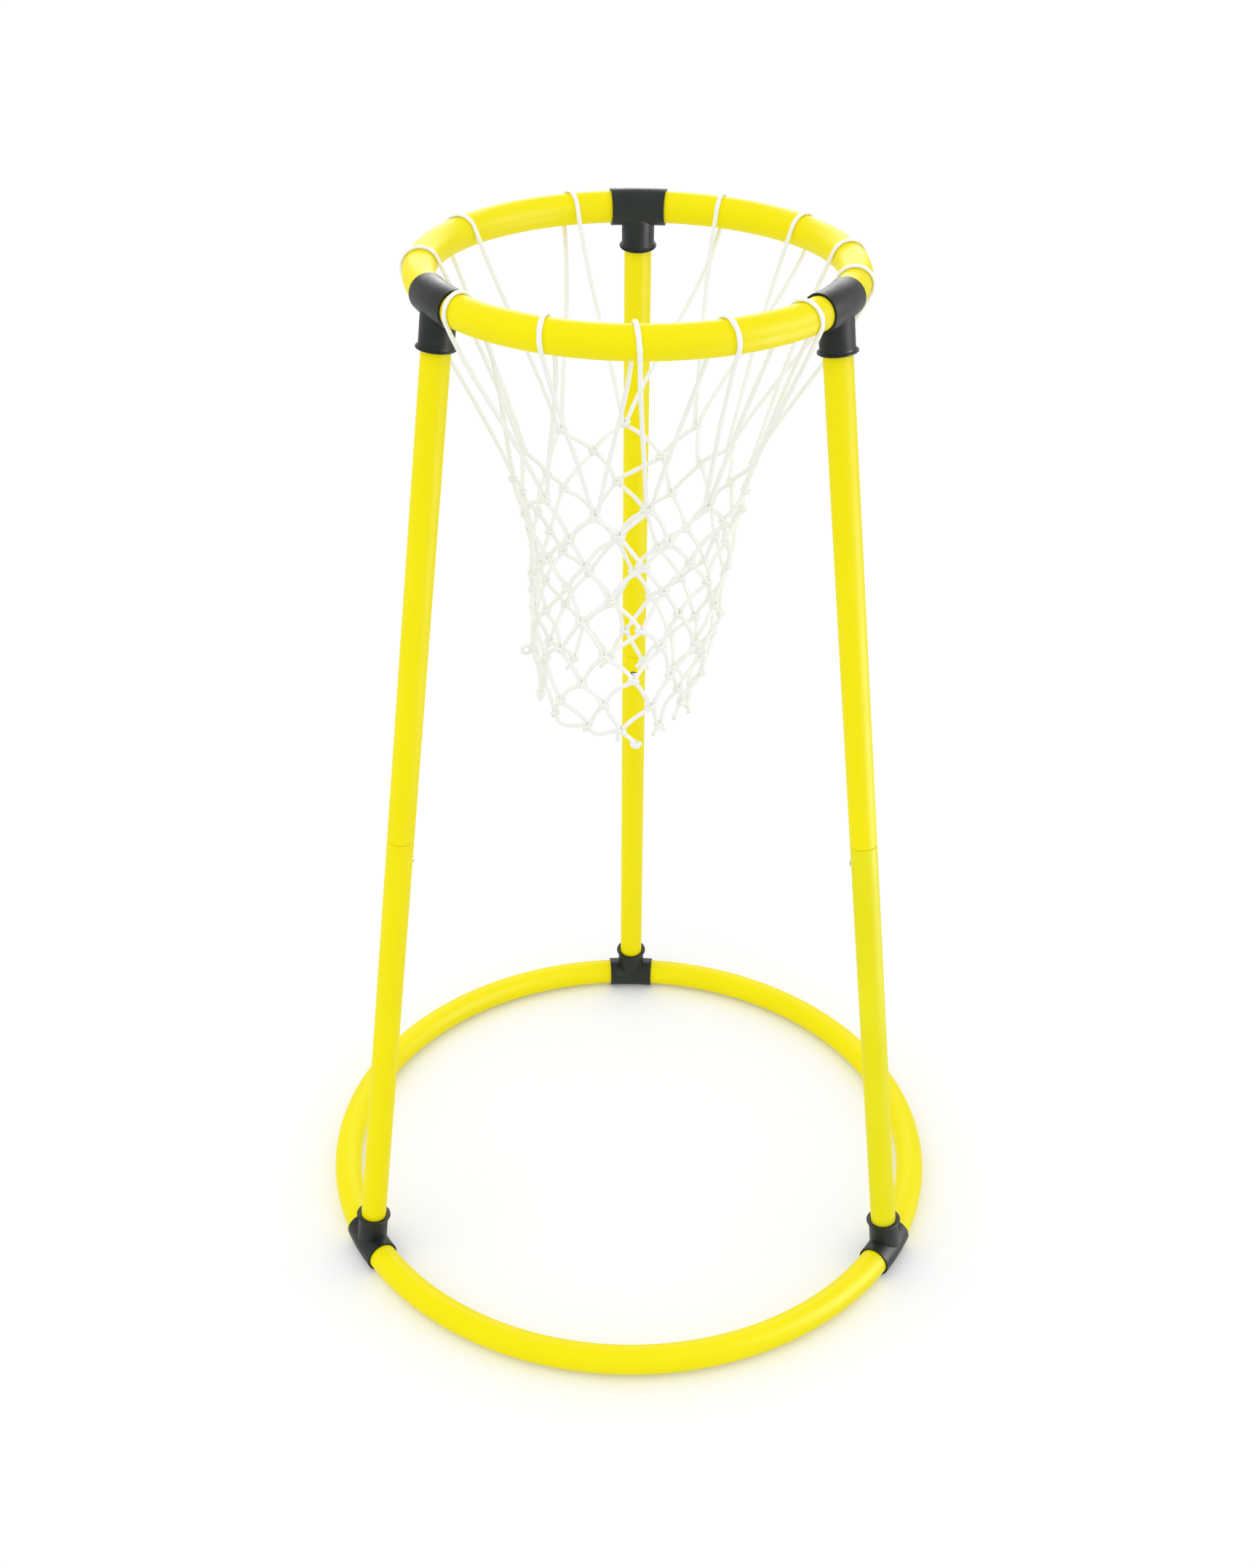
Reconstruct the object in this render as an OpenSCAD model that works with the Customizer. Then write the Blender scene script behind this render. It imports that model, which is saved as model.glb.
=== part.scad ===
// Free-standing goal stand: a tube hoop with a hanging knotted net, held over a
// base ring by three leaning legs that come apart in two halves each.
// The origin is on the floor under the middle of the base ring. +Z is up, and
// +Y points to the back leg. All sizes are in millimetres.

/* [Stand] */
// Diameter of the base ring, through the middle of its tube
base_ring_d = 610; // [560:1:680]
// Diameter of the hoop, through the middle of its tube
hoop_d = 362; // [330:1:400]
// Rise from the middle of the base ring's tube to the middle of the hoop's tube
hoop_rise = 971; // [850:1:1100]

/* [Ring tubes] */
// Outside diameter of the tube that the hoop and the base ring are bent from
ring_tube_d = 28; // [25:0.5:31]
// Wall of the ring tube
ring_tube_wall = 2; // [1.5:0.1:3]

/* [Leg tubes] */
// Outside diameter of a leg tube
leg_tube_d = 25; // [23:0.5:28]
// Wall of a leg tube
leg_tube_wall = 1.5; // [1.2:0.1:2]
// Distance from the base ring's middle up the leg to the seam between its halves
seam_at = 482; // [400:1:560]
// Bevel on the outer edge of each tube end at the seam
seam_bevel = 0.9; // [0.2:0.1:1.2]
// Depth that the coupling sleeve reaches into each half of the leg
sleeve_reach = 65; // [62:1:90]
// Wall of the coupling sleeve
sleeve_wall = 1.2; // [0.8:0.1:1.6]

/* [Tees] */
// Wall of a tee
tee_wall = 2.2; // [1.8:0.1:3]
// Length of a tee's run, along the ring
tee_run_length = 50; // [44:1:58]
// Reach of a tee's branch, from the ring's middle to the branch's mouth
tee_branch_length = 38; // [34:1:46]
// Growth of the branch's radius from its neck to its root, for the mould's draft
tee_draft = 0.3; // [0.1:0.1:0.8]
// Height of the flared lip at the branch's mouth
lip_h = 5; // [3:0.5:7]
// How far the lip stands out from the branch
lip_out = 2.3; // [1.5:0.1:3]
// Radius of the lip's rounded edge
lip_edge = 1; // [0.5:0.1:1.3]
// Thickness of the stop rib that the two ring tubes meet inside the run
stop_rib_t = 3; // [2:0.5:5]
// Thickness of the floor that the leg tube stops on, over the crown of the run
branch_floor = 0.8; // [0.5:0.1:2]
// Width and height of the lead-in bevel inside the branch's mouth
lead_in = 0.8; // [0.4:0.1:1.2]

/* [Snap buttons] */
// Diameter of the button
button_d = 7; // [6:0.5:8]
// How far the button stands out of the leg at rest
button_proud = 2.5; // [1.5:0.1:3]
// Height of the button's domed end
button_dome = 1.5; // [1:0.1:2]
// Distance from the seam down to the button
button_drop = 22; // [16:1:28]
// Distance from the button up to the middle of the spring's bend
clip_arm = 55; // [48:1:57]
// Width of the leaf spring's strip
clip_w = 8; // [7:0.5:10]
// Thickness of the leaf spring's strip
clip_t = 0.8; // [0.6:0.1:1]
// Radius of the bend, to the middle of the strip
clip_bend_r = 2.5; // [2:0.1:3]
// Swell of the strip on every side where it is folded
bend_swell = 0.05; // [0.04:0.01:0.08]
// Distance from the leg's axis to the middle of the bend, on the button's side
clip_offset = 4.5; // [3:0.1:5]
// Length of strip past the button's middle
clip_tail = 6; // [5:0.5:9]

/* [Net] */
// Diameter of the net's cord
net_cord_d = 4; // [3:0.5:5]
// Diameter of a knot
net_knot_d = 8; // [7:0.5:10]
// Drop from the hoop's middle to the first row of knots
net_first_drop = 176; // [150:1:200]
// Pitch of the rows of knots below the first
net_row_pitch = 28.5; // [26:0.5:32]
// Number of rows of knots
net_rows = 9; // [6:1:10]
// Radius of the net at its first row of knots
net_neck_r = 106; // [96:1:116]
// Radius of the net at its last row of knots
net_mouth_r = 70; // [62:1:82]
// How far the net's side bows in below the neck and out above the mouth
net_bow = 5; // [0:0.5:8]
// How far the mouth of the net hangs to one side
net_sway = 18; // [0:1:30]
// How far a knot strays from its even place, each way
net_stray = 4; // [0:0.5:5]

/* [Fits] */
// Radial clearance of a tube in a tee or of a sleeve in a tube
tube_fit = 0.05; // [0.02:0.01:0.1]
// Gap left at the end of a tube, and beside parts that only lie close
end_gap = 0.3; // [0.2:0.1:0.5]
// Radial clearance round the button in its holes, for the tilt of the spring
button_gap = 0.9; // [0.8:0.1:1.5]
// Gap between a net loop and the tube that it hangs on
loop_gap = 0.4; // [0.3:0.1:1]

/* [Hidden] */
$fn = 48;

tube_yellow = "#f6ea12";
tee_grey = "#34352f";
steel = "#a9abac";
cord_white = "#f4f4ee";

// Bearings of the legs about +Z, measured from +X.
back = 90;
left = 210;
right = 330;
leg_spacing = 120;

// How far a cut runs past the solid that it opens.
past = 1;

// Rings and legs.
base_r = base_ring_d / 2;
hoop_r = hoop_d / 2;
ring_tube_bore_r = ring_tube_d / 2 - ring_tube_wall;
run_bore_r = ring_tube_d / 2 + tube_fit;
run_r = run_bore_r + tee_wall;
base_z = run_r;
hoop_z = base_z + hoop_rise;
lean = atan((base_r - hoop_r) / hoop_rise);
leg_l = norm([base_r - hoop_r, hoop_rise]);

// Tees.
branch_bore_r = leg_tube_d / 2 + tube_fit;
branch_r = branch_bore_r + tee_wall;
branch_stop = run_r + branch_floor;
leg_end = branch_stop + end_gap;
// How far inside the branch's wall the lip's flare starts, so that the two cross cleanly.
flare_bite = 0.1;

// Coupling and snap button, in the leg's own frame.
leg_bore_r = leg_tube_d / 2 - leg_tube_wall;
sleeve_r = leg_bore_r - tube_fit;
sleeve_bore_r = sleeve_r - sleeve_wall;
button_z = seam_at - button_drop;
hole_r = button_d / 2 + button_gap;
// The strip's flat edges touch the sleeve's round bore first.
strip_x = sqrt(pow(sleeve_bore_r, 2) - pow(clip_w / 2, 2)) - tube_fit - clip_t / 2;
bend_at = [-clip_offset, button_z + clip_arm];
button_tip = leg_tube_d / 2 + button_proud;

// Net.
cord_r = net_cord_d / 2;
// A round elbow, a little thicker than the cord, joins each loop to its two legs.
elbow_swell = 0.3;
elbow_r = cord_r + elbow_swell;
knot_r = net_knot_d / 2;
// How far the middle of half a knot lies from the knot's middle, so that the cords of two
// strands come into it side by side.
half_out = cord_r;
loop_r = ring_tube_d / 2 + loop_gap + cord_r;
// Share of the free stretch of hoop between two tees at which each loop hangs.
loop_shares = [[0.11, 0.49, 0.79], [0.01, 0.28, 0.5, 0.72, 0.95], [0.09, 0.31, 0.57, 0.85]];
loop_margin = arc_deg(tee_run_length / 2 + cord_r + loop_gap, hoop_r);
loops = [
  for (side = [0:2], share = loop_shares[side])
    back + side * leg_spacing + loop_margin + share * (leg_spacing - 2 * loop_margin)
];
loop_count = len(loops);
loop_step = 360 / loop_count;
// Bearing of loop 0 if the loops were evenly spaced, and how far each one is from there.
even_start = average([for (k = [0:loop_count - 1]) loops[k] - k * loop_step]);
loop_shift = [for (k = [0:loop_count - 1]) loops[k] - k * loop_step - even_start];
// Share of the loops' uneven spacing that is left at each row of knots.
settle = 0.6;
// Steps, in degrees, that make a knot's strays along, out and down look unplanned.
stray_steps = [137.5, 271.8, 205.1];
// Share of a bead's depth to which a cord's flat end stays fully inside it.
bead_depth = 0.9;

function average(v) = v * [for (x = v) 1] / len(v);
function arc_deg(length, radius) = length / radius * 180 / PI;

// ---- Tubes that the rings are bent from ----

module ring_sweep(ring_r, from, to) {
  rotate([0, 0, from]) rotate_extrude(angle = to - from) translate([ring_r, 0]) children();
}

module ring_arc(ring_r, z, from) {
  stop = arc_deg(stop_rib_t / 2 + end_gap, ring_r);
  color(tube_yellow) translate([0, 0, z])
    ring_sweep(ring_r, from + stop, from + leg_spacing - stop)
      difference() {
        circle(r = ring_tube_d / 2);
        circle(r = ring_tube_bore_r);
      }
}

module hoop_arc(from) {
  ring_arc(hoop_r, hoop_z, from);
}

module base_arc(from) {
  ring_arc(base_r, base_z, from);
}

// ---- Legs ----

// The leg's own frame: +Z runs up the leg from the base ring, -X faces the stand's axis.
module on_leg(bearing) {
  rotate([0, 0, bearing]) translate([base_r, 0, base_z]) rotate([0, -lean, 0]) children();
}

// A straight tube, bevelled on the outside at the end that is named first.
module leg_tube(bevelled, plain) {
  inward = sign(plain - bevelled);
  outer_r = leg_tube_d / 2;
  rotate_extrude()
    polygon([
      [leg_bore_r, bevelled],
      [outer_r - seam_bevel, bevelled],
      [outer_r, bevelled + inward * seam_bevel],
      [outer_r, plain],
      [leg_bore_r, plain]
    ]);
}

module button_hole() {
  translate([-leg_tube_d, 0, button_z]) rotate([0, 90, 0]) cylinder(r = hole_r, h = leg_tube_d);
}

module upper_leg(bearing) {
  color(tube_yellow) on_leg(bearing) leg_tube(seam_at + end_gap / 2, leg_l - leg_end);
}

module lower_leg(bearing) {
  color(tube_yellow) on_leg(bearing)
    difference() {
      leg_tube(seam_at - end_gap / 2, leg_end);
      button_hole();
    }
}

module coupling_sleeve(bearing) {
  color(steel) on_leg(bearing)
    difference() {
      translate([0, 0, seam_at - sleeve_reach]) cylinder(r = sleeve_r, h = 2 * sleeve_reach);
      translate([0, 0, seam_at - sleeve_reach - past])
        cylinder(r = sleeve_bore_r, h = 2 * (sleeve_reach + past));
      button_hole();
    }
}

// ---- Snap buttons on folded leaf springs ----

// How far an arm leans out from the leg's axis, so that it is tangent to the bend
// and its end meets the sleeve's wall. The button's side is -1, the heel's is +1.
function arm_end(side) = [side * strip_x, button_z - clip_tail];
function arm_reach(side) = norm(arm_end(side) - bend_at);
function arm_lean(side) =
  atan(side * (arm_end(side) - bend_at)[0] / (clip_arm + clip_tail))
  - asin(clip_bend_r / arm_reach(side));

module spring_arm(side, into_bend = 0) {
  arm_l = sqrt(pow(arm_reach(side), 2) - pow(clip_bend_r, 2));
  translate([bend_at[0], 0, bend_at[1]]) rotate([0, -side * arm_lean(side), 0])
    translate([side * clip_bend_r - clip_t / 2, -clip_w / 2, -arm_l])
      cube([clip_t, clip_w, arm_l + into_bend]);
}

module spring_clip(bearing) {
  from = arm_lean(1);
  to = 180 - arm_lean(-1) - arc_deg(end_gap, clip_bend_r);
  bend_t = clip_t + 2 * bend_swell;
  bend_w = clip_w + 2 * bend_swell;
  color(steel) on_leg(bearing) {
    spring_arm(1, clip_t / 4);
    translate([bend_at[0], bend_w / 2, bend_at[1]]) rotate([90, 0, 0]) rotate([0, 0, from])
      rotate_extrude(angle = to - from)
        translate([clip_bend_r - bend_t / 2, 0]) square([bend_t, bend_w]);
  }
}

module snap_button(bearing) {
  root = strip_x - clip_tail * tan(arm_lean(-1));
  shoulder = button_tip - button_dome;
  dome_r = (pow(button_d / 2, 2) + pow(button_dome, 2)) / (2 * button_dome);
  color(steel) on_leg(bearing) {
    spring_arm(-1);
    translate([0, 0, button_z]) rotate([0, -90, 0]) {
      translate([0, 0, root]) cylinder(d = button_d, h = shoulder - root);
      intersection() {
        translate([0, 0, shoulder]) cylinder(d = button_d, h = button_dome);
        translate([0, 0, button_tip - dome_r]) sphere(r = dome_r);
      }
    }
  }
}

// ---- Tees ----

// A drafted tube that flares out to a rounded lip.
module branch_body() {
  lip_r = branch_r + lip_out;
  rim_z = tee_branch_length - lip_edge;
  flare_h = lip_h - lip_edge;
  flare_r = (pow(lip_out, 2) + pow(flare_h, 2)) / (2 * lip_out);
  cylinder(r1 = branch_r + tee_draft, r2 = branch_r, h = rim_z);
  rotate_extrude() {
    difference() {
      translate([0, rim_z - flare_h]) square([lip_r, flare_h]);
      translate([branch_r - flare_bite + flare_r, rim_z - flare_h]) circle(r = flare_r);
    }
    translate([0, rim_z]) square([lip_r - lip_edge, lip_edge]);
    translate([lip_r - lip_edge, rim_z]) circle(r = lip_edge);
  }
}

module branch_socket() {
  translate([0, 0, branch_stop]) cylinder(r = branch_bore_r, h = tee_branch_length);
  translate([0, 0, tee_branch_length - lead_in])
    cylinder(r1 = branch_bore_r, r2 = branch_bore_r + 2 * lead_in, h = 2 * lead_in);
}

module tee(bearing, ring_r, ring_z) {
  half = arc_deg(tee_run_length / 2, ring_r);
  rib = arc_deg(stop_rib_t / 2, ring_r);
  beyond = arc_deg(past, ring_r);
  color(tee_grey)
    difference() {
      union() {
        translate([0, 0, ring_z]) ring_sweep(ring_r, bearing - half, bearing + half) circle(r = run_r);
        children(0);
      }
      translate([0, 0, ring_z]) {
        ring_sweep(ring_r, bearing - half - beyond, bearing - rib) circle(r = run_bore_r);
        ring_sweep(ring_r, bearing + rib, bearing + half + beyond) circle(r = run_bore_r);
        ring_sweep(ring_r, bearing - rib - beyond, bearing + rib + beyond) circle(r = ring_tube_bore_r);
      }
      children(1);
    }
}

module base_tee(bearing) {
  tee(bearing, base_r, base_z) {
    on_leg(bearing) branch_body();
    on_leg(bearing) branch_socket();
  }
}

module hoop_tee(bearing) {
  tee(bearing, hoop_r, hoop_z) {
    on_leg(bearing) translate([0, 0, leg_l]) rotate([180, 0, 0]) branch_body();
    on_leg(bearing) translate([0, 0, leg_l]) rotate([180, 0, 0]) branch_socket();
  }
}

// ---- Net ----

function wrapped(k) = (k % loop_count + loop_count) % loop_count;
// The loops' uneven spacing at a place between two loops, counted in loops.
function shift_at(place) =
  let (k = floor(place), share = place - k)
  (1 - share) * loop_shift[wrapped(k)] + share * loop_shift[wrapped(k + 1)];

function drop_at(row) = net_first_drop + row * net_row_pitch;
function radius_at(row) =
  let (down = row / (net_rows - 1))
  net_neck_r + (net_mouth_r - net_neck_r) * down - net_bow * sin(360 * down);
function sway_at(row) = net_sway * pow(drop_at(row) / drop_at(net_rows - 1), 2);

// How far a knot strays along, out and down from its even place.
function strays(row, place) =
  net_stray * [for (step = stray_steps) sin(step * (wrapped(floor(place)) + loop_count * row))];

// A knot's place. Places are counted in loops: row 0 is the first under the hoop, with its
// knots half a step on from the loops, and the rows below take turns.
function knot_at(row, place) =
  let (
    off = strays(row, place),
    even = even_start + place * loop_step + pow(settle, row + 1) * shift_at(place),
    bearing = even + arc_deg(off[0], radius_at(row)),
    r = radius_at(row) + off[1]
  )
  [r * cos(bearing) - sway_at(row), r * sin(bearing), hoop_z - drop_at(row) - off[2]];

// The angle round the hoop's tube, from its outer side over its top, at which the cord
// to a knot leaves the loop. The outer leg of a loop is side +1, the inner leg is -1.
function leave_angle(k, knot, side) =
  let (
    out = [cos(loops[k]), sin(loops[k]), 0],
    rel = knot - hoop_r * out - [0, 0, hoop_z],
    flat = [rel * out, rel[2]]
  )
  atan2(flat[1], flat[0]) + side * acos(loop_r / norm(flat));

function loop_point(k, angle) =
  let (r = hoop_r + loop_r * cos(angle))
  [r * cos(loops[k]), r * sin(loops[k]), hoop_z + loop_r * sin(angle)];

// A straight cord between two round beads, ending just inside each of them.
module cord(from, from_bead_r, to, to_bead_r) {
  run = to - from;
  length = norm(run);
  start = inside_bead(from_bead_r);
  translate(from) rotate([0, acos(run[2] / length), atan2(run[1], run[0])])
    translate([0, 0, start]) cylinder(r = cord_r, h = length - start - inside_bead(to_bead_r));
}

// How far from a bead's middle a cord's flat end lies.
function inside_bead(bead_r) = bead_depth * sqrt(pow(bead_r, 2) - pow(cord_r, 2));

// A strand's two beads in a row: halves of the knots that it shares with its neighbours
// in the even rows, and its own whole knot in the odd ones.
function shares_knots(row) = row % 2 == 0;
function half_knot(row, k, side) = knot_at(row, k + side / 2);
function bead_at(row, k, side) =
  shares_knots(row)
    ? let (knot = half_knot(row, k, side), bearing = atan2(knot[1], knot[0]))
      knot - side * half_out * [-sin(bearing), cos(bearing), 0]
    : knot_at(row, k);

// A place's own frame: +X is away from the stand's axis, +Y runs round it.
module facing_out(at) {
  translate(at) rotate([0, 0, atan2(at[1], at[0])]) children();
}

// A whole knot, its poles in and out of the net, clear of the cords that meet it.
module whole_knot(row, k) {
  facing_out(knot_at(row, k)) rotate([0, 90, 0]) rotate([0, 0, 90]) sphere(r = knot_r);
}

// Half of a knot, cut flat where the neighbour's half meets it. Its poles lie along the
// row, so that the cut is one of its circles.
module half_bead(row, k, side) {
  cut_w = 2 * net_knot_d;
  difference() {
    facing_out(bead_at(row, k, side)) rotate([90, 0, 0]) sphere(r = knot_r);
    facing_out(half_knot(row, k, side)) translate([0, side * cut_w / 2, 0]) cube(cut_w, center = true);
  }
}

// The plane of one loop: +X is away from the hoop's middle, +Y is up.
module on_hoop(k) {
  rotate([0, 0, loops[k]]) translate([hoop_r, 0, hoop_z]) rotate([90, 0, 0]) children();
}

module net_loop(k) {
  outer_bead = bead_at(0, k, 1);
  inner_bead = bead_at(0, k, -1);
  outer = leave_angle(k, outer_bead, 1);
  inner = leave_angle(k, inner_bead, -1);
  cut = arc_deg(inside_bead(elbow_r), loop_r);
  on_hoop(k) rotate([0, 0, outer + cut])
    rotate_extrude(angle = 360 + inner - outer - 2 * cut) translate([loop_r, 0]) circle(r = cord_r);
  for (leg = [[outer, outer_bead], [inner, inner_bead]]) {
    on_hoop(k) rotate([0, 0, leg[0]]) translate([loop_r, 0, 0]) sphere(r = elbow_r);
    cord(loop_point(k, leg[0]), elbow_r, leg[1], knot_r);
  }
}

// One cord of the net: its loop over the hoop, and its two legs down to the mouth.
module net_strand(k) {
  color(cord_white) {
    net_loop(k);
    for (row = [0:net_rows - 1]) {
      if (!shares_knots(row)) whole_knot(row, k);
      for (side = [-1, 1]) {
        if (shares_knots(row)) half_bead(row, k, side);
        if (row > 0) cord(bead_at(row - 1, k, side), knot_r, bead_at(row, k, side), knot_r);
      }
    }
  }
}

hoop_arc(back);  // hoop_arc_left
hoop_arc(left);  // hoop_arc_front
hoop_arc(right);  // hoop_arc_right
hoop_tee(back);  // hoop_tee_back
hoop_tee(left);  // hoop_tee_left
hoop_tee(right);  // hoop_tee_right
upper_leg(back);  // upper_leg_back
upper_leg(left);  // upper_leg_left
upper_leg(right);  // upper_leg_right
coupling_sleeve(back);  // coupling_sleeve_back
coupling_sleeve(left);  // coupling_sleeve_left
coupling_sleeve(right);  // coupling_sleeve_right
lower_leg(back);  // lower_leg_back
lower_leg(left);  // lower_leg_left
lower_leg(right);  // lower_leg_right
spring_clip(back);  // spring_clip_back
spring_clip(left);  // spring_clip_left
spring_clip(right);  // spring_clip_right
snap_button(back);  // snap_button_back
snap_button(left);  // snap_button_left
snap_button(right);  // snap_button_right
base_tee(back);  // base_tee_back
base_tee(left);  // base_tee_left
base_tee(right);  // base_tee_right
base_arc(back);  // base_arc_left
base_arc(left);  // base_arc_front
base_arc(right);  // base_arc_right
net_strand(0);  // net_strand_1
net_strand(1);  // net_strand_2
net_strand(2);  // net_strand_3
net_strand(3);  // net_strand_4
net_strand(4);  // net_strand_5
net_strand(5);  // net_strand_6
net_strand(6);  // net_strand_7
net_strand(7);  // net_strand_8
net_strand(8);  // net_strand_9
net_strand(9);  // net_strand_10
net_strand(10);  // net_strand_11
net_strand(11);  // net_strand_12
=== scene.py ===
"""Looks for the free-standing goal stand: finishes for its tubes, tees and springs, and a net of knotted
cord in place of the plain one. The scene is in metres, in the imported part's frame: +Z is up, +Y points to
the back leg, and the origin is on the floor under the middle of the base ring. The net is worked out in
millimetres, as in the part's source."""

import math

import bpy
from mathutils import Matrix, Vector


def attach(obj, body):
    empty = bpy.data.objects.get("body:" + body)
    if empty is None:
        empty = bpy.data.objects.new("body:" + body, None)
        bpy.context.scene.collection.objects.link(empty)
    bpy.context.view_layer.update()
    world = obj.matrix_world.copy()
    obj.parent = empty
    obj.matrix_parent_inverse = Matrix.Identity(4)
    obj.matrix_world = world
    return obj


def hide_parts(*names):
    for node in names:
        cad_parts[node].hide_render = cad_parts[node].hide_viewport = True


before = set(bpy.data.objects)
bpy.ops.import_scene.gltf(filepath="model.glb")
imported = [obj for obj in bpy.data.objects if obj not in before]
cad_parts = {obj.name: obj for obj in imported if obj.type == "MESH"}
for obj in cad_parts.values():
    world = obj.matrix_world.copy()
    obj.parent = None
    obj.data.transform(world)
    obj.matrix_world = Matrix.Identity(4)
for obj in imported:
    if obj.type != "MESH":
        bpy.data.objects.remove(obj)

MM = 0.001

# ---- Sizes repeated from the part's source, in millimetres ----

HOOP_R = 181
HOOP_RISE = 971
RING_TUBE_R = 14
RUN_R = 16.25
HOOP_Z = RUN_R + HOOP_RISE
TEE_HALF_L = 25
CORD_R = 2
LOOP_GAP = 0.4
FIRST_DROP = 176
ROW_PITCH = 28.5
ROWS = 9
NECK_R = 106
MOUTH_R = 70
BOW = 5
SWAY = 18
LEG_SPACING = 120
BACK_BEARING = 90
SETTLE = 0.6
STRAY = 4
STRAY_STEPS = (137.5, 271.8, 205.1)
LOOP_SHARES = ((0.11, 0.49, 0.79), (0.01, 0.28, 0.5, 0.72, 0.95), (0.09, 0.31, 0.57, 0.85))

# ---- The knotted cord: lengths in millimetres, angles in degrees ----

# The cord, the share by which its radius swells and shrinks along it, and how far that goes on from one
# point to the next, in radians.
STRAND_R = 2
SWELL = 0.05
SWELL_STEP = 0.9
CORD_SIDES = 10

# Over the hoop's tube: its gap to the tube, how flat it is pressed and how much of that goes into width,
# how far it lies askew, and the share of the way over, at each end, where the pressing eases no more.
WRAP_GAP = 0.15
WRAP_PRESS = 0.25
WRAP_R = RING_TUBE_R + WRAP_GAP + (1 - WRAP_PRESS) * STRAND_R
PRESSED_OUT = 0.6
WRAP_SKEW = 2.5
WRAP_END = 0.06
WRAP_STEPS = 26

# From the hoop down: how steeply it comes into the first knot, and how much it arches and strays in and
# out between two knots, as shares of its length.
HANG_STEEP = 0.15
HANG_STEPS = 18
ARCH = 0.13
SLACK = 0.25
MESH_STEPS = 10

# In a knot: how far a strand lies from its middle, and how many times as far where it enters and leaves.
NIP = 1.4
NIP_OPENS = 1.7
KNOT_HALF_H = 3.3

# Round a knot: the turns of its coil, their half width and half depth, the coil's height and its tilt. It
# starts and ends at a share of its width, and widens so many times as fast as it goes on.
KNOT_TURNS = 1.75
KNOT_TURN_R = 1.6
KNOT_SPREAD = 4.0
KNOT_DEPTH = 2.9
KNOT_COIL_H = 4.8
KNOT_TILT = 24
KNOT_TILT_STRAY = 8
COIL_END_WIDTH = 0.3
COIL_WIDENING = 6
COIL_STEPS = 26

# A cut end: its length, its lean to the side for each unit down, and how far these and its lean in or out
# stray. A long one is splayed more.
TAIL_L = 6
TAIL_L_STRAY = 4
TAIL_LEAN = 0.7
TAIL_LEAN_STRAY = 0.5
TAIL_OUT_STRAY = 0.3
TAIL_STEPS = 5
LONG_TAIL_L = 15
SPLAY = 1.1

# How an end sets off and how it arrives: sideways and up, as shares of its length.
TAIL_START = (0.6, -0.5)
TAIL_END_DROP = 1.3
CROSSING_START = (0.7, -0.8)
CROSSING_END = (1, 0.2)
CROSSING_STEPS = 12

# A curled end: its radius, how far its middle hangs under the knot, the angle at which it starts and the
# angle that it goes round.
CURL_R = 4.3
CURL_DROP = 0.4 * CURL_R
CURL_START = 150
CURL_ROUND = 380
CURL_STEPS = 20

# Loose ends: knots of the last row whose right-hand end crosses to the next knot, knots whose ends are
# left long and splayed, the one whose end hangs to a stopper knot, and the (row, place) of curled ends.
CROSSING = (3.5, 4.5)
SPLAYED = (7.5, 8.5)
STOPPED = 5.5
CURLED = ((6, 2.5), (6, 3.5))

# Behind each number that strays: the turn of its sine from one knot to the next.
SLACK_STEP, ARCH_STEP = 171.3, 53.9
TAIL_L_STEP, TAIL_LEAN_STEP, TAIL_OUT_STEP = 97.7, 61.3, 43.9
TILT_WAY_STEP, TILT_STEP, COIL_START_STEP = 88.1, 33.7, 12.9

# ---- The photograph's camera: pixels, metres and radians, and the sensor in millimetres ----

PHOTO_H = 2156
FOCAL_PX = 2681
SENSOR = 36
CAMERA_Y = -1.5989
CAMERA_Z = 1.4891
PITCH_DOWN = math.radians(32.25)
YAW = -0.0031
ROLL = 0.0081

# ---- Colours, darker and paler tone first where there are two ----

YELLOW = ((0.94, 0.82, 0.0003), (0.96, 0.845, 0.001))
# A paler yellow, for one lower leg half.
PALER_YELLOW = ((0.85, 0.79, 0.004), (0.88, 0.825, 0.01))
RUBBED_YELLOW = (0.95, 0.87, 0.08)
CHARCOAL = ((0.013, 0.017, 0.0145), (0.021, 0.026, 0.0225))
SCUFFED_CHARCOAL = (0.05, 0.057, 0.052)
ZINC = ((0.44, 0.45, 0.46), (0.62, 0.63, 0.64))
CORD = ((0.945, 0.955, 0.915), (0.97, 0.975, 0.95))
# Painted shade: the cord's darker colour in the grooves between the braid's strands.
BRAID_GROOVE_SHADE = (0.88, 0.89, 0.84)
FLOOR = (0.895, 0.9, 0.92, 1)
WHITE = (1, 1, 1, 1)

# The braid: how many strands go round the cord each way, and the length from one crossing to the next, in
# metres.
BRAID_STRANDS = 8
BRAID_PITCH = 0.009

# The middle part of a noise's range, in which most of its values lie, and a wider one.
MIDDLE = (0.35, 0.65)
WIDE_MIDDLE = (0.3, 0.7)

FLOOR_R = 16
KEY_DIRECTION = (0.35, 0.45, -1)
KEY_ANGLE = math.radians(50)

# ---- Directions and curves ----


def up(height):
    """A vector straight up, or straight down for a height under zero."""
    return Vector((0, 0, height))


def turned(degrees):
    """The level direction at a bearing, measured from +X."""
    return Vector((math.cos(math.radians(degrees)), math.sin(math.radians(degrees)), 0))


def level(vector):
    """The level direction of a vector. For a point, that is outwards from the stand's middle."""
    return Vector((vector.x, vector.y, 0)).normalized()


def beside(out):
    """The level direction a quarter turn on from an outward one, anticlockwise as seen from above."""
    return Vector((-out.y, out.x, 0))


def shares(steps):
    """Even shares of a way, from 0 to 1."""
    return [i / steps for i in range(steps + 1)]


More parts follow.
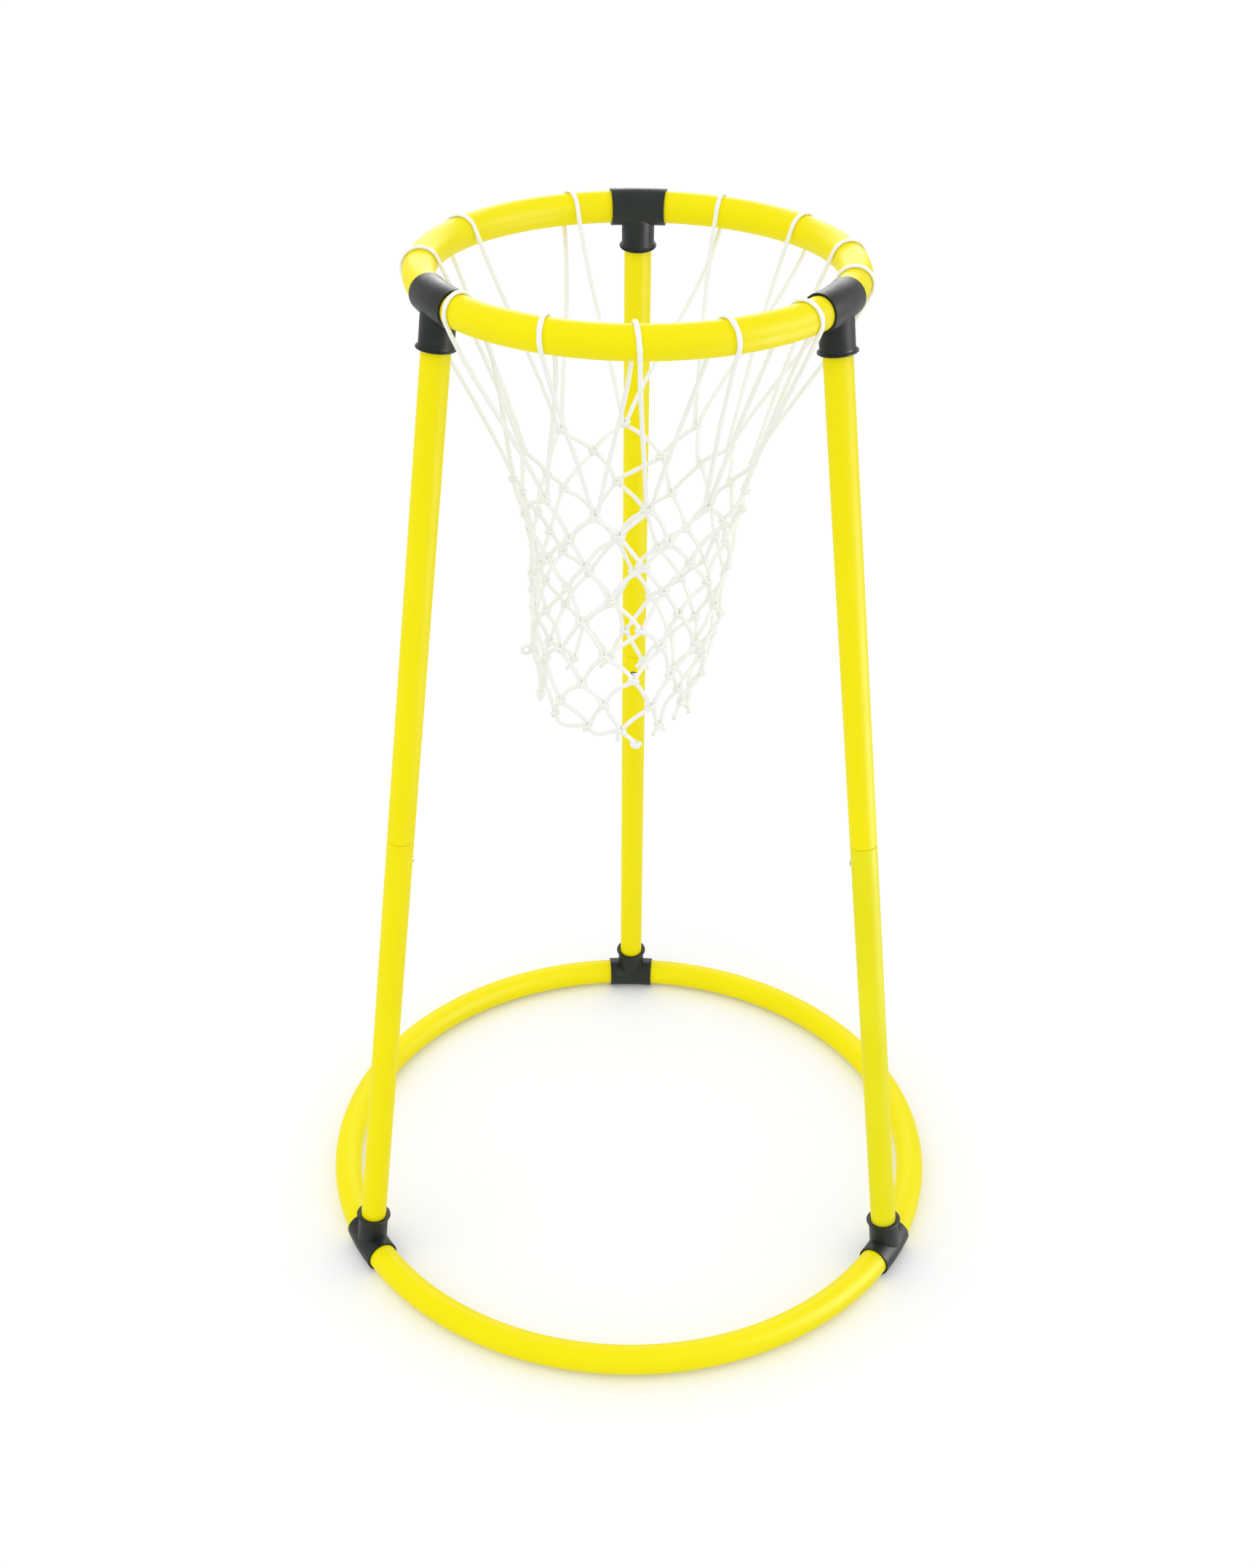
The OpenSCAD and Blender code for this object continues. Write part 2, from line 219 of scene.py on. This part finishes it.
def hermite(start, start_pull, end, end_pull, steps):
    """Points on a cubic from start to end, without its last point."""
    return [
        (2 * t ** 3 - 3 * t ** 2 + 1) * start
        + (t ** 3 - 2 * t ** 2 + t) * start_pull
        + (3 * t ** 2 - 2 * t ** 3) * end
        + (t ** 3 - t ** 2) * end_pull
        for t in shares(steps)[:-1]
    ]


# ---- Camera ----


def link(thing):
    """Puts an object into the scene."""
    bpy.context.scene.collection.objects.link(thing)
    return thing


def make_camera():
    """Looks down on the stand from the front, as the photograph does."""
    level_forward = Vector((math.sin(YAW), math.cos(YAW), 0))
    forward = math.cos(PITCH_DOWN) * level_forward - up(math.sin(PITCH_DOWN))
    level_right = Vector((math.cos(YAW), -math.sin(YAW), 0))
    level_up = level_right.cross(forward)
    right = math.cos(ROLL) * level_right + math.sin(ROLL) * level_up
    upward = -math.sin(ROLL) * level_right + math.cos(ROLL) * level_up
    data = bpy.data.cameras.new("camera")
    data.sensor_width = SENSOR
    data.lens = FOCAL_PX / PHOTO_H * SENSOR
    data.clip_start = 0.05
    data.clip_end = 60
    camera = link(bpy.data.objects.new("camera", data))
    turn = Matrix((right, upward, -forward)).transposed().to_4x4()
    camera.matrix_world = Matrix.Translation((0, CAMERA_Y, CAMERA_Z)) @ turn
    bpy.context.scene.camera = camera


# ---- Materials ----


class Nodes:
    """A short way to write the nodes of a tree."""

    def __init__(self, tree):
        self.tree = tree

    def add(self, kind, inputs=None, **settings):
        """Adds a node with its inputs and settings."""
        node = self.tree.nodes.new(kind)
        for key, value in settings.items():
            setattr(node, key, value)
        for key, value in (inputs or {}).items():
            self.feed(node.inputs[key], value)
        return node

    def feed(self, socket, value):
        """Links another node's output to a socket, or sets the socket to a constant."""
        if isinstance(value, bpy.types.NodeSocket):
            self.tree.links.new(value, socket)
        else:
            socket.default_value = value

    def place(self):
        return self.add("ShaderNodeTexCoord").outputs["Object"]

    def noise(self, place, scale, detail=4, roughness=0.5):
        inputs = {"Vector": place, "Scale": scale, "Detail": detail, "Roughness": roughness}
        return self.add("ShaderNodeTexNoise", inputs).outputs["Fac"]

    def range(self, value, old, new):
        """Carries a value from the old range, a pair of ends, to the new one."""
        ends = dict(zip(("From Min", "From Max", "To Min", "To Max"), (*old, *new)))
        return self.add("ShaderNodeMapRange", {"Value": value, **ends}).outputs["Result"]

    def math(self, operation, first, second):
        inputs = {0: first, 1: second}
        return self.add("ShaderNodeMath", inputs, operation=operation).outputs["Value"]

    def mix(self, share, first, second):
        node = self.add("ShaderNodeMix", {"Factor": share}, data_type="RGBA")
        for socket, colour in zip((s for s in node.inputs if s.type == "RGBA"), (first, second)):
            self.feed(socket, (*colour, 1) if isinstance(colour, tuple) else colour)
        return next(s for s in node.outputs if s.type == "RGBA")

    def bump(self, height, distance, strength, under=None):
        inputs = {"Height": height, "Distance": distance, "Strength": strength}
        if under is not None:
            inputs["Normal"] = under
        return self.add("ShaderNodeBump", inputs).outputs["Normal"]

    def shows(self):
        """1 where a ray shows a surface or the world: to the camera, in a reflection or through glass."""
        rays = self.add("ShaderNodeLightPath").outputs
        reflected = self.math("MAXIMUM", rays["Is Camera Ray"], rays["Is Glossy Ray"])
        return self.math("MAXIMUM", reflected, rays["Is Transmission Ray"])


class Finish(Nodes):
    """A new material and its nodes."""

    def __init__(self, name):
        self.material = bpy.data.materials.new(name)
        self.material.use_nodes = True
        super().__init__(self.material.node_tree)
        self.shader = self.tree.nodes["Principled BSDF"]

    def set(self, **values):
        """Sets inputs of the shader, named with underscores for spaces."""
        for key, value in values.items():
            self.feed(self.shader.inputs[key.replace("_", " ")], value)


def tube_yellow(name, tones):
    """Satin yellow coating with a fine orange peel, faint mottling in two tones and rubbed patches."""
    n = Finish(name)
    place = n.place()
    mottle = n.noise(place, 9, detail=3)
    rubs = n.noise(place, 60, detail=6, roughness=0.7)
    colour = n.mix(n.range(mottle, MIDDLE, (0, 1)), *tones)
    n.set(Base_Color=n.mix(n.range(rubs, (0.62, 0.8), (0, 0.35)), colour, RUBBED_YELLOW))
    n.set(Roughness=n.range(n.noise(place, 24), WIDE_MIDDLE, (0.42, 0.52)))
    n.set(Normal=n.bump(n.noise(place, 900, detail=2), distance=0.00004, strength=0.6))
    n.set(IOR=1.5, Specular_IOR_Level=0.12)
    return n.material


def tee_black():
    """Moulded charcoal plastic with a fine spark-eroded texture and scuffs that have paled it."""
    n = Finish("tee_black")
    place = n.place()
    scuffs = n.range(n.noise(place, 70, detail=8, roughness=0.75), (0.55, 0.75), (0, 1))
    cloud = n.mix(n.range(n.noise(place, 18, detail=3), MIDDLE, (0, 1)), *CHARCOAL)
    n.set(Base_Color=n.mix(n.math("MULTIPLY", scuffs, 0.4), cloud, SCUFFED_CHARCOAL))
    n.set(Roughness=n.range(n.noise(place, 40, detail=3), WIDE_MIDDLE, (0.36, 0.5)))
    grain = n.bump(n.noise(place, 2600, detail=2), distance=0.00005, strength=0.5)
    n.set(Normal=n.bump(n.noise(place, 300, detail=2), distance=0.00006, strength=0.4, under=grain))
    n.set(IOR=1.5, Specular_IOR_Level=0.22)
    return n.material


def spring_steel():
    """Zinc-plated steel, brushed along its length."""
    n = Finish("spring_steel")
    stretch = {"Vector": n.place(), "Scale": (900, 900, 40)}
    streaks = n.noise(n.add("ShaderNodeMapping", stretch).outputs["Vector"], 1, roughness=0.6)
    n.set(Base_Color=n.mix(streaks, *ZINC))
    n.set(Metallic=1.0)
    n.set(Roughness=n.range(streaks, WIDE_MIDDLE, (0.26, 0.42)))
    n.set(Normal=n.bump(streaks, distance=0.00003, strength=0.5))
    return n.material


def net_cord():
    """Braided nylon: two sets of fine strands cross round the cord, by the piece's own cord map. The
    grooves between the strands are darkened with painted shade.
    """
    n = Finish("net_cord")
    around_along = n.add("ShaderNodeUVMap", uv_map="cord").outputs["UV"]
    split = n.add("ShaderNodeSeparateXYZ", {"Vector": around_along})
    turns = n.math("MULTIPLY", split.outputs["X"], BRAID_STRANDS)
    rows = n.math("MULTIPLY", split.outputs["Y"], 1 / BRAID_PITCH)
    right_laid = n.math("PINGPONG", n.math("ADD", turns, rows), 0.5)
    left_laid = n.math("PINGPONG", n.math("SUBTRACT", turns, rows), 0.5)
    braid = n.math("MAXIMUM", right_laid, left_laid)
    fuzz = n.noise(n.place(), 1500, detail=3)
    clean = n.mix(n.range(n.noise(n.place(), 22, detail=3), MIDDLE, (0, 1)), *CORD)
    # Painted shade: the braid's low grooves are mixed towards a darker colour.
    n.set(Base_Color=n.mix(n.range(braid, (0.2, 0.5), (0.25, 0)), clean, BRAID_GROOVE_SHADE))
    n.set(Roughness=0.62, Sheen_Weight=0.25, Sheen_Roughness=0.4)
    height = n.math("ADD", braid, n.math("MULTIPLY", fuzz, 0.25))
    n.set(Normal=n.bump(height, distance=0.0005, strength=0.6))
    return n.material


# ---- Swept cords ----


class Tubes:
    """Collects swept cords in one mesh, with a cord map: round the cord, and along it in metres."""

    def __init__(self):
        self.points = []
        self.faces = []
        self.maps = []

    def sweep(self, path, radius, presses=None):
        """path: points in millimetres. radius: one value or one for each point. presses: for each point,
        the direction in which the cord is pressed flat and how much, or None."""
        count = len(path)
        radii = radius if isinstance(radius, list) else [radius] * count
        start = len(self.points)
        rows = self.add_rings(path, radii, presses or [None] * count)
        for i in range(count - 1):
            for s in range(CORD_SIDES):
                a = start + i * CORD_SIDES + s
                b = start + i * CORD_SIDES + (s + 1) % CORD_SIDES
                self.faces.append((a, b, b + CORD_SIDES, a + CORD_SIDES))
                u, v = s / CORD_SIDES, (s + 1) / CORD_SIDES
                self.maps.append(((u, rows[i]), (v, rows[i]), (v, rows[i + 1]), (u, rows[i + 1])))
        self.add_cap(start, rows[0], -1)
        self.add_cap(start + (count - 1) * CORD_SIDES, rows[-1], 1)

    def add_rings(self, path, radii, presses):
        """Adds a ring of points round each point of the path, and returns its way along the cord."""
        last = len(path) - 1
        tangents = [(path[min(i + 1, last)] - path[max(i - 1, 0)]).normalized() for i in range(last + 1)]
        normal = tangents[0].orthogonal().normalized()
        along = 0
        rows = []
        for i, (point, tangent) in enumerate(zip(path, tangents)):
            normal = (normal - normal.dot(tangent) * tangent).normalized()
            other = tangent.cross(normal)
            if i:
                along += (point - path[i - 1]).length
            rows.append(along * MM)
            for s in range(CORD_SIDES):
                angle = math.tau * s / CORD_SIDES
                offset = radii[i] * (math.cos(angle) * normal + math.sin(angle) * other)
                if presses[i]:
                    direction, amount = presses[i]
                    depth = offset.dot(direction)
                    spread = offset - depth * direction
                    offset = depth * (1 - amount) * direction + spread * (1 + amount * PRESSED_OUT)
                self.points.append((point + offset) * MM)
        return rows

    def add_cap(self, ring, row, way):
        """Closes an end: ring is its first point, and way is -1 at the start and 1 at the end."""
        order = list(range(CORD_SIDES))[::way]
        self.faces.append(tuple(ring + s for s in order))
        self.maps.append(tuple((s / CORD_SIDES, row) for s in order))

    def build(self, name):
        mesh = bpy.data.meshes.new(name)
        mesh.from_pydata(self.points, [], self.faces)
        layer = mesh.uv_layers.new(name="cord")
        layer.data.foreach_set("uv", [x for face in self.maps for pair in face for x in pair])
        mesh.shade_smooth()
        mesh.validate()
        return mesh


# ---- The net's form, by the rule of the part's source ----

LOOP_MARGIN = math.degrees((TEE_HALF_L + CORD_R + LOOP_GAP) / HOOP_R)
LOOPS = [
    BACK_BEARING + side * LEG_SPACING + LOOP_MARGIN + share * (LEG_SPACING - 2 * LOOP_MARGIN)
    for side, side_shares in enumerate(LOOP_SHARES)
    for share in side_shares
]
COUNT = len(LOOPS)
STEP = 360 / COUNT
EVEN_START = sum(LOOPS) / COUNT - STEP * (COUNT - 1) / 2
SHIFT = [bearing - k * STEP - EVEN_START for k, bearing in enumerate(LOOPS)]


def shift_at(place):
    """The loops' uneven spacing at a place between two loops, in degrees. Places are counted in loops."""
    k = math.floor(place)
    share = place - k
    return (1 - share) * SHIFT[k % COUNT] + share * SHIFT[(k + 1) % COUNT]


def drop_at(row):
    """The drop from the hoop's middle to a row of knots."""
    return FIRST_DROP + row * ROW_PITCH


def stray(row, place, step):
    """A fixed, uneven number from -1 to 1 for each knot."""
    return math.sin(math.radians(step * (math.floor(place) % COUNT + COUNT * row)))


def knot_at(row, place):
    """A knot's middle. Row 0 is the first under the hoop, with its knots half a step on from the loops,
    and the rows below take turns."""
    bearing = EVEN_START + place * STEP + SETTLE ** (row + 1) * shift_at(place)
    down = row / (ROWS - 1)
    radius = NECK_R + (MOUTH_R - NECK_R) * down - BOW * math.sin(math.tau * down)
    sway = SWAY * (drop_at(row) / drop_at(ROWS - 1)) ** 2
    along, out_by, down_by = (STRAY * stray(row, place, step) for step in STRAY_STEPS)
    out = turned(bearing + math.degrees(along / radius))
    return (radius + out_by) * out + Vector((-sway, 0, HOOP_Z - drop_at(row) - down_by))


# ---- The knotted cords ----


def leave_angle(rel, out, side):
    """The angle round the hoop's tube, from its outer side over its top, at which a cord leaves it. The
    cord goes to a knot that lies at rel from the tube's middle."""
    reach = math.hypot(rel.dot(out), rel.z)
    return math.atan2(rel.z, rel.dot(out)) + side * math.acos(WRAP_R / reach)


def wrap_path(k):
    """The cord over the hoop's tube, from its inner side to its outer one, lying a little askew.
    Returns its points and, for each, the direction in which the tube presses it flat and how much."""
    out = turned(LOOPS[k])
    middle = HOOP_R * out + up(HOOP_Z)
    outer = leave_angle(knot_at(0, k + 0.5) - middle, out, 1)
    inner = leave_angle(knot_at(0, k - 0.5) - middle, out, -1) + math.tau
    points, presses = [], []
    for share in shares(WRAP_STEPS):
        angle = inner + (outer - inner) * share
        away = math.cos(angle) * out + up(math.sin(angle))
        skew = WRAP_SKEW * math.sin(math.pi * (share - 0.5))
        points.append(middle + WRAP_R * away + skew * beside(out))
        held = min(max(share, WRAP_END), 1 - WRAP_END)
        presses.append((away, WRAP_PRESS * math.sin(math.pi * held) ** 0.5))
    return points, presses


def passes(k, side, row):
    """Where one leg of strand k passes a row: the knot's place, and the side of the knot that it lies on.
    In even rows the knot is shared with a neighbour, and in odd ones with the strand's other leg."""
    return (k, side) if row % 2 else (k + side / 2, -side)


def through_knot(row, place, on):
    """A strand on the left (-1) or right (1) of a knot: where it enters, its middle and where it leaves."""
    knot = knot_at(row, place)
    nip = on * NIP * beside(level(knot))
    gate = knot + NIP_OPENS * nip
    return gate + up(KNOT_HALF_H), knot + nip, gate - up(KNOT_HALF_H)


def leg_path(k, side):
    """One leg of strand k, from the hoop to its cut end. The outer leg is side 1, the inner one -1."""
    over, _ = wrap_path(k)
    start, before = (over[-1], over[-2]) if side == 1 else (over[0], over[1])
    knots = [through_knot(row, *passes(k, side, row)) for row in range(ROWS)]
    chord = knots[0][0] - start
    pull = chord.length * (start - before).normalized()
    points = hermite(start, pull, knots[0][0], chord - up(HANG_STEEP * chord.length), HANG_STEPS)
    for row in range(1, ROWS):
        entry, middle, leave = knots[row - 1]
        points += [entry, middle]
        points += mesh_side(leave, knots[row][0], row, *passes(k, side, row))
    entry, middle, leave = knots[-1]
    return points + [entry, middle] + cut_end(leave, *passes(k, side, ROWS - 1))


def mesh_side(leave, entry, row, place, on):
    """The cord from one knot to the left (-1) or right (1) of the next one, in a row at a place."""
    chord = entry - leave
    slack = SLACK * stray(row - 1, place, SLACK_STEP) * level(leave)
    arch = ARCH * (1 + stray(row, place, ARCH_STEP * on)) * (level(chord) + up(1))
    bend = (arch + slack) * chord.length
    return hermite(leave, chord + bend, entry, chord - bend, MESH_STEPS)


def cut_end(leave, place, on):
    """The cut end of a strand under its last knot, on the knot's left (-1) or right (1)."""
    out = level(leave)
    along = beside(out)
    if on == 1 and place in CROSSING:
        end = knot_at(ROWS - 1, place + 1)
        length = (end - leave).length
        start_pull = CROSSING_START[0] * along + up(CROSSING_START[1])
        end_pull = CROSSING_END[0] * along + up(CROSSING_END[1])
        return hermite(leave, length * start_pull, end, length * end_pull, CROSSING_STEPS) + [end]
    if place in SPLAYED or (on == 1 and place == STOPPED):
        length = LONG_TAIL_L
        lean = SPLAY * on * along
    else:
        length = TAIL_L + TAIL_L_STRAY * stray(ROWS, place, TAIL_L_STEP * on)
        aside = TAIL_LEAN * on + TAIL_LEAN_STRAY * stray(ROWS, place, TAIL_LEAN_STEP)
        lean = aside * along + TAIL_OUT_STRAY * stray(ROWS, place, TAIL_OUT_STEP) * out
    end = leave + length * (lean - up(1)).normalized()
    start_pull = TAIL_START[0] * on * along + up(TAIL_START[1])
    end_pull = lean - up(TAIL_END_DROP)
    return hermite(leave, length * start_pull, end, length * end_pull, TAIL_STEPS) + [end]


def coil(centre, out, tilt, start):
    """The turns that bind a knot: a tilted oval coil whose ends dive between the strands."""
    along = beside(out)
    spread = math.cos(tilt) * along + up(math.sin(tilt))
    rise = -math.sin(tilt) * along + up(math.cos(tilt))
    points = []
    for share in shares(COIL_STEPS):
        angle = math.radians(start + 360 * KNOT_TURNS * share)
        width = min(1, COIL_END_WIDTH + COIL_WIDENING * min(share, 1 - share))
        ring = width * (KNOT_SPREAD * math.cos(angle) * spread + KNOT_DEPTH * math.sin(angle) * out)
        points.append(centre + ring + KNOT_COIL_H * (share - 0.5) * rise)
    return points


def knot_turns(row, place):
    """The turns of one of the net's knots, each tilted and turned its own way."""
    knot = knot_at(row, place)
    way = 1 if stray(row, place, TILT_WAY_STEP) > 0 else -1
    tilt = math.radians(KNOT_TILT * way + KNOT_TILT_STRAY * stray(row, place, TILT_STEP))
    return coil(knot, level(knot), tilt, 180 * (stray(row, place, COIL_START_STEP) + 1))


def curled_end(row, place):
    """A cut end that curls out from a knot and back to it."""
    knot = knot_at(row, place)
    out = level(knot)
    centre = knot + (CURL_R + NIP) * out - up(CURL_DROP)
    points = []
    for share in shares(CURL_STEPS):
        angle = math.radians(CURL_START + CURL_ROUND * share)
        ring = CURL_R * (math.cos(angle) * out + up(math.sin(angle)))
        points.append(centre + ring + 2 * STRAND_R * (share - 0.5) * beside(out))
    return points


def net_strand(k, finish):
    """One cord of the net: up its inner leg, over the hoop's tube and down its outer one, and the turns
    of the knots on its outer leg."""
    tubes = Tubes()
    over, presses = wrap_path(k)
    inner = leg_path(k, -1)[::-1]
    outer = leg_path(k, 1)
    path = inner[:-1] + over + outer[1:]
    presses = [None] * (len(inner) - 1) + presses + [None] * (len(outer) - 1)
    radii = [STRAND_R * (1 + SWELL * math.sin(SWELL_STEP * i + k)) for i in range(len(path))]
    tubes.sweep(path, radii, presses)
    for row in range(ROWS):
        place, _ = passes(k, 1, row)
        tubes.sweep(knot_turns(row, place), KNOT_TURN_R)
        if (row, place) in CURLED:
            tubes.sweep(curled_end(row, place), KNOT_TURN_R)
    if k + 0.5 == STOPPED:
        end = cut_end(through_knot(ROWS - 1, STOPPED, 1)[-1], STOPPED, 1)[-1]
        tubes.sweep(coil(end, level(end), 0, 0), KNOT_TURN_R)
    name = f"knotted_strand_{k + 1}"
    strand = link(bpy.data.objects.new(name, tubes.build(name)))
    strand.data.materials.append(finish)
    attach(strand, "root")
    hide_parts(f"net_strand_{k + 1}")


def knotted_net():
    """The whole net, one cord for each of its loops."""
    finish = net_cord()
    for k in range(COUNT):
        net_strand(k, finish)


# ---- Finishes on the tubes, tees and springs ----


def dress(nodes):
    """Gives each node of the part its finish. One lower leg half is a little paler yellow than the rest, as
    in the photograph.
    """
    finishes = (
        (tube_yellow("tube_yellow_paler", PALER_YELLOW), "lower_leg_right"),
        (tube_yellow("tube_yellow", YELLOW), ("hoop_arc", "base_arc", "upper_leg", "lower_leg")),
        (tee_black(), ("hoop_tee", "base_tee")),
        (spring_steel(), ("coupling_sleeve", "spring_clip", "snap_button")),
    )
    for name, node in nodes.items():
        material = next((finish for finish, kinds in finishes if name.startswith(kinds)), None)
        for slot in node.material_slots if material else ():
            slot.material = material


# ---- Floor, light and background ----


def make_floor(lift):
    """A plain pale floor. What is seen of it is lifted towards white, and the stand's shadow stays."""
    bpy.ops.mesh.primitive_circle_add(vertices=96, radius=FLOOR_R, fill_type="NGON")
    floor = bpy.context.object
    floor.name = "floor"
    n = Finish("floor")
    n.set(Base_Color=FLOOR, Roughness=0.9, Specular_IOR_Level=0.0)
    n.set(Emission_Color=WHITE, Emission_Strength=n.math("MULTIPLY", n.shows(), lift))
    floor.data.materials.append(n.material)


def add_lamp(name, kind, energy, direction):
    """Adds a lamp that shines in a direction."""
    lamp = link(bpy.data.objects.new(name, bpy.data.lights.new(name, kind)))
    lamp.data.energy = energy
    lamp.rotation_euler = direction.to_track_quat("-Z", "Y").to_euler()
    return lamp


def make_key(energy):
    """A very soft light from above on the left, alike all over the floor."""
    lamp = add_lamp("key", "SUN", energy, Vector(KEY_DIRECTION))
    lamp.data.angle = KEY_ANGLE
    lamp.visible_glossy = False


def make_sheen(name, place, target, size, energy):
    """A lamp that is seen in reflections and lights nothing."""
    lamp = add_lamp(name, "AREA", energy, Vector(target) - Vector(place))
    lamp.data.shape = "RECTANGLE"
    lamp.data.size, lamp.data.size_y = size
    lamp.location = place
    lamp.visible_diffuse = False
    lamp.visible_camera = False


def make_world(strength):
    """White to the camera and in reflections, and an even light of the given strength on the stand."""
    world = bpy.data.worlds.new("world")
    world.use_nodes = True
    bpy.context.scene.world = world
    n = Nodes(world.node_tree)
    background = n.tree.nodes["Background"]
    n.feed(background.inputs["Color"], WHITE)
    n.feed(background.inputs["Strength"], n.range(n.shows(), (0, 1), (strength, 1)))


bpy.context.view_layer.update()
make_camera()
knotted_net()
dress(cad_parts)
make_floor(lift=0.11)
make_key(energy=0.3)
make_sheen("low_sheen", place=(1.05, -0.3, 0.32), target=(0, 0, 0.5), size=(0.6, 0.64), energy=16)
make_sheen("right_sheen", place=(2.2, -0.55, 1.65), target=(0, 0, 0.9), size=(1.2, 1.2), energy=80)
make_sheen("back_sheen", place=(0, 2.2, 1.5), target=(0, 0, 0.9), size=(2.2, 0.6), energy=30)
make_world(strength=0.94)
bpy.context.scene.view_settings.view_transform = "Standard"
